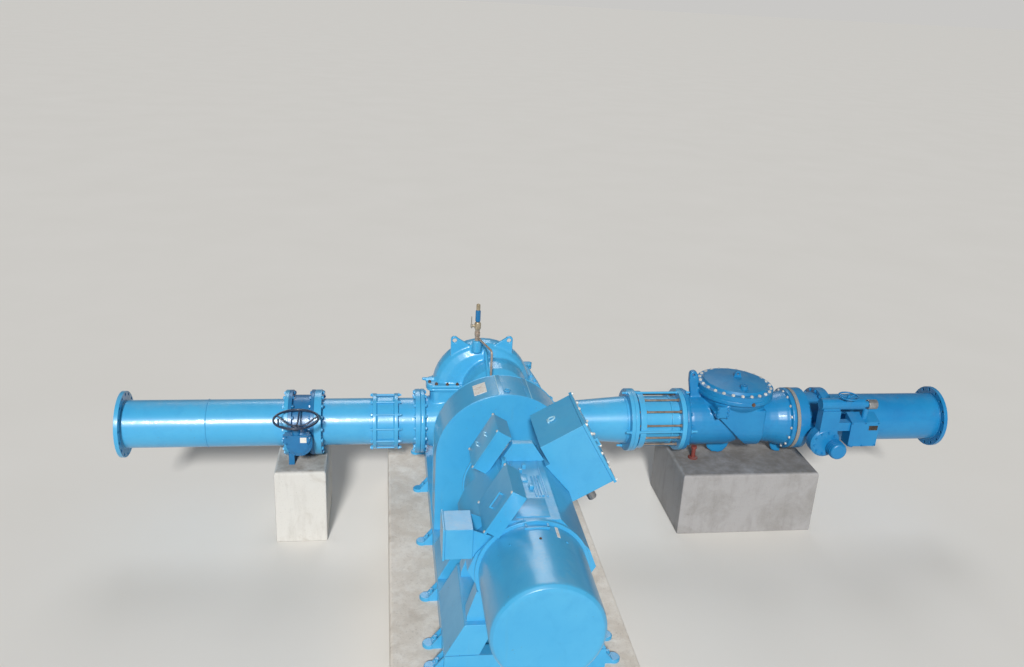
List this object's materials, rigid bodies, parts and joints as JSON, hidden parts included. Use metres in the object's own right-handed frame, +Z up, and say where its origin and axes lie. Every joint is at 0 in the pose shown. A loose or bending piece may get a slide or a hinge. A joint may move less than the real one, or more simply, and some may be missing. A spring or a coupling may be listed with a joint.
{
  "type": "centrifugal pump set",
  "caption": "Horizontal split-case water pump with motor, guarded flywheel, base frame and plinth, and its flanged suction and discharge valve lines on concrete blocks.",
  "frame": {"origin": "on the floor under the crossing of the pump shaft's and the pipes' centre lines, in the plinth's underside", "axes": "+X along the pipes from suction to discharge, +Y along the shaft from motor to pump, +Z up"},
  "size_m": [7.405, 4.088, 2.078],
  "materials": {
    "bare_steel": "satin",
    "blank_plate": "satin",
    "brass": "dull",
    "dark_blue_enamel": "semi-gloss",
    "dark_red_paint": "matt, worn",
    "deep_blue_enamel": "semi-gloss",
    "gasket_sheet": "matt",
    "grey_paint": "satin",
    "navy_enamel": "semi-gloss",
    "painted_concrete": "matt, worn white paint",
    "pale_blue_enamel": "semi-gloss, worn"
  },
  "bodies": {
    "pump_set": {"actuator_cap": "bare_steel", "actuator_control_box": "deep_blue_enamel", "actuator_gearbox": "deep_blue_enamel", "actuator_housing": "deep_blue_enamel", "actuator_motor": "deep_blue_enamel", "aux_box_drive_end": "pale_blue_enamel", "aux_box_rear": "pale_blue_enamel", "base_frame": "pale_blue_enamel", "bearing_housing_drive": "pale_blue_enamel", "bearing_housing_free": "pale_blue_enamel", "cable_glands": "bare_steel", "check_valve_body": "deep_blue_enamel", "check_valve_cover": "deep_blue_enamel", "check_valve_jack": "dark_red_paint", "discharge_gasket": "gasket_sheet", "discharge_outlet_pipe": "deep_blue_enamel", "discharge_reducer": "pale_blue_enamel", "discharge_support_block": "painted_concrete", "discharge_valve_body": "deep_blue_enamel", "discharge_valve_disc": "bare_steel", "dismantling_joint_body": "pale_blue_enamel", "dismantling_joint_spigot": "pale_blue_enamel", "flywheel_guard": "pale_blue_enamel", "guard_plate": "blank_plate", "main_terminal_box": "pale_blue_enamel", "main_terminal_cover": "pale_blue_enamel", "motor_drive_endshield": "pale_blue_enamel", "motor_fan_cowl": "pale_blue_enamel", "motor_frame": "pale_blue_enamel", "motor_pedestal_drive": "pale_blue_enamel", "motor_pedestal_rear": "pale_blue_enamel", "motor_rear_flange": "pale_blue_enamel", "motor_shaft": "bare_steel", "motor_top_housing": "pale_blue_enamel", "plinth": "painted_concrete", "pump_lower_casing": "pale_blue_enamel", "pump_shaft_drive": "bare_steel", "pump_shaft_far_seal": "bare_steel", "pump_shaft_near_seal": "bare_steel", "pump_upper_casing": "pale_blue_enamel", "side_junction_box": "pale_blue_enamel", "suction_coupling_sleeve": "pale_blue_enamel", "suction_gearbox_plate": "blank_plate", "suction_inlet_pipe": "pale_blue_enamel", "suction_pump_spool": "pale_blue_enamel", "suction_spool": "pale_blue_enamel", "suction_support_block": "painted_concrete", "suction_valve_body": "dark_blue_enamel", "suction_valve_disc": "bare_steel", "suction_valve_gearbox": "dark_blue_enamel", "vent_cap": "brass", "vent_cock": "brass", "vent_pipe": "bare_steel", "vent_receiver": "dark_blue_enamel"},
    "suction_handwheel": {"suction_valve_handwheel": "navy_enamel"},
    "actuator_wheel": {"actuator_handwheel": "deep_blue_enamel"},
    "vent_lever": {"vent_cock_lever": "grey_paint"}
  },
  "joints": [
    {"name": "suction_wheel_turn", "type": "hinge", "parent": "pump_set", "child": "suction_handwheel", "pos_m": [-1.612, -0.39, 1.18], "axis": [0, 0, 1], "continuous": true},
    {"name": "actuator_wheel_turn", "type": "hinge", "parent": "pump_set", "child": "actuator_wheel", "pos_m": [3.195, -0.415, 1.356], "axis": [0, 0, 1], "continuous": true},
    {"name": "vent_lever_turn", "type": "hinge", "parent": "pump_set", "child": "vent_lever", "pos_m": [-0.155, -0.05, 1.88], "axis": [1, 0, 0], "range_deg": [0, 90]}
  ]
}
